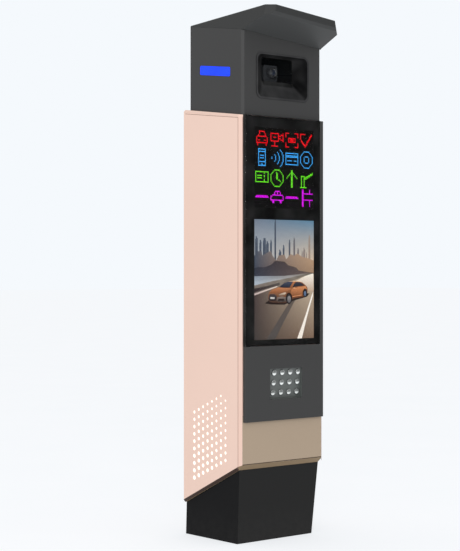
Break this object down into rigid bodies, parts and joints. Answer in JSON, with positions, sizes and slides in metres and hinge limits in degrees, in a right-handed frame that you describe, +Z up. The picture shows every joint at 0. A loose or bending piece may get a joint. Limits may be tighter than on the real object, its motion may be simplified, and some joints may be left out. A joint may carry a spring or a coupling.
{
  "type": "parking pay station",
  "caption": "Free-standing parking pay station: leaning plinth, perforated sheet steel body, two front displays, a light, rear service door and a hooded camera head.",
  "frame": {"origin": "on the ground, at the centre of the four anchor bolt holes, under the middle of the body", "axes": "+Z up, -Y towards the front with the displays, +X to the right seen from the front"},
  "size_m": [0.36, 0.418, 1.6897],
  "materials": {
    "zinc_steel": "zinc plated, satin",
    "plinth_black": "black powder coat",
    "rose_paint": "rose gold powder coat, satin",
    "grey_paint": "dark grey powder coat, satin",
    "tray_grey": "grey, satin",
    "black_plastic": "fine matt grain",
    "white_plastic": "matt",
    "brass": "turned",
    "lit_diffuser": "opal, lit from behind",
    "clear_lens": "clear moulded lens",
    "circuit_board": "green solder mask",
    "black_glass": "black printed cover glass, polished",
    "led_face": "black face with coloured lit dots",
    "screen_face": "lit picture display",
    "stainless": "brushed stainless",
    "dark_glass": "tinted, polished",
    "blue_light": "blue lit diffuser",
    "camera_case": "fine grain",
    "lens_black": "black, anodised",
    "aluminium": "plain sheet",
    "gasket_rubber": "closed cell"
  },
  "bodies": {
    "cabinet": {"anchor_plate": "zinc_steel", "plinth": "plinth_black", "skirt_trim": "rose_paint", "base_deck": "zinc_steel", "cable_glands": "black_plastic", "earth_stud": "brass", "corner_posts": "rose_paint", "rear_posts": "rose_paint", "side_panel_right": "rose_paint", "side_panel_left": "rose_paint", "vent_diffusers": "lit_diffuser", "lower_front_panel": "rose_paint", "rear_lintel": "rose_paint", "rear_sill": "rose_paint", "top_cap": "rose_paint", "front_cover": "grey_paint", "fill_light_tray": "tray_grey", "fill_light_lenses": "clear_lens", "fill_light_board": "circuit_board", "display_rails": "grey_paint", "display_glass": "black_glass", "led_modules": "led_face", "lcd_panel": "screen_face", "display_straps": "zinc_steel", "speaker": "black_plastic", "head_housing": "grey_paint", "head_rear_cover": "grey_paint", "head_cover_screws": "stainless", "hood": "grey_paint", "camera_bezel": "black_plastic", "camera_window": "dark_glass", "side_light_right": "blue_light", "side_light_left": "blue_light", "side_light_boards": "circuit_board", "camera_shelf": "zinc_steel", "equipment_plate": "zinc_steel", "power_supply": "aluminium", "board_standoffs": "brass", "controller_board": "circuit_board", "din_rail": "zinc_steel", "circuit_breaker": "white_plastic", "terminal_blocks": "white_plastic", "hinge_frame_leaves": "stainless", "hinge_pins": "stainless"},
    "rear_door": {"rear_door": "rose_paint", "door_gasket": "gasket_rubber", "hinge_door_leaves": "stainless", "lock_body": "grey_paint", "rod_guides": "black_plastic", "fan_frame": "black_plastic", "fan_guard": "stainless"},
    "fan_rotor": {"fan_rotor": "black_plastic"},
    "lock": {"lock_handle": "stainless", "lock_cam": "zinc_steel"},
    "rod_upper": {"lock_rod_upper": "zinc_steel"},
    "rod_lower": {"lock_rod_lower": "zinc_steel"},
    "camera_yoke": {"camera_yoke": "black_plastic"},
    "camera": {"camera_body": "camera_case", "camera_lens": "lens_black"},
    "breaker_toggle": {"breaker_toggle": "black_plastic"}
  },
  "joints": [
    {"name": "rear_door_hinge", "type": "hinge", "parent": "cabinet", "child": "rear_door", "pos_m": [0.171, 0.147, 0.75], "axis": [0, 0, -1], "range_deg": [0, 105]},
    {"name": "lock_turn", "type": "hinge", "parent": "rear_door", "child": "lock", "pos_m": [-0.118, 0.14, 0.76], "axis": [0, -1, 0], "range_deg": [0, 90]},
    {"name": "upper_rod_slide", "type": "slide", "parent": "rear_door", "child": "rod_upper", "axis": [0, 0, 1], "range_m": [0, 0.0226]},
    {"name": "lower_rod_slide", "type": "slide", "parent": "rear_door", "child": "rod_lower", "axis": [0, 0, -1], "range_m": [0, 0.02283]},
    {"name": "fan_spin", "type": "hinge", "parent": "rear_door", "child": "fan_rotor", "pos_m": [0.01, 0.13, 1.18], "axis": [0, 1, 0], "continuous": true},
    {"name": "camera_pan", "type": "hinge", "parent": "cabinet", "child": "camera_yoke", "pos_m": [0, -0.04, 1.437], "axis": [0, 0, 1], "range_deg": [-8, 8]},
    {"name": "camera_tilt", "type": "hinge", "parent": "camera_yoke", "child": "camera", "pos_m": [0, -0.04, 1.503], "axis": [1, 0, 0], "range_deg": [-8, 8]},
    {"name": "breaker_toggle_turn", "type": "hinge", "parent": "cabinet", "child": "breaker_toggle", "pos_m": [-0.042, 0.1, 0.739], "axis": [1, 0, 0], "range_deg": [-70, 0]}
  ],
  "couplings": [
    {"joint": "lock_turn", "follows": "upper_rod_slide", "rad_per_m": 69.42},
    {"joint": "lower_rod_slide", "follows": "upper_rod_slide", "ratio": 1}
  ]
}
